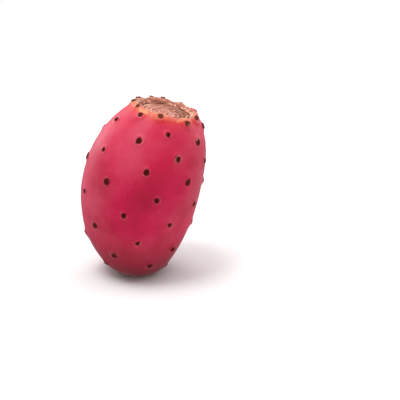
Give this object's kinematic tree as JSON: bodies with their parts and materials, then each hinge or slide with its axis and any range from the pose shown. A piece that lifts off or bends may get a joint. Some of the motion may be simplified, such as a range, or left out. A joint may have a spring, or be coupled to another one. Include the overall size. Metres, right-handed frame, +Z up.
{
  "type": "prickly pear fruit",
  "caption": "Whole red prickly pear standing on its cut stem end: a leaning egg-shaped fruit with felted areoles in spirals and a shallow, ridged flower scar on its crown.",
  "frame": {"origin": "middle of the cut stem face that the fruit stands on, at the level of the table", "axes": "+Z up, out of the table; +X the way the crown leans; -Y towards the viewer of the picture"},
  "size_m": [0.0559, 0.0532, 0.0786],
  "materials": {
    "skin": "satin, waxy fruit skin"
  },
  "bodies": {
    "root": {"fruit": "skin"}
  },
  "joints": []
}
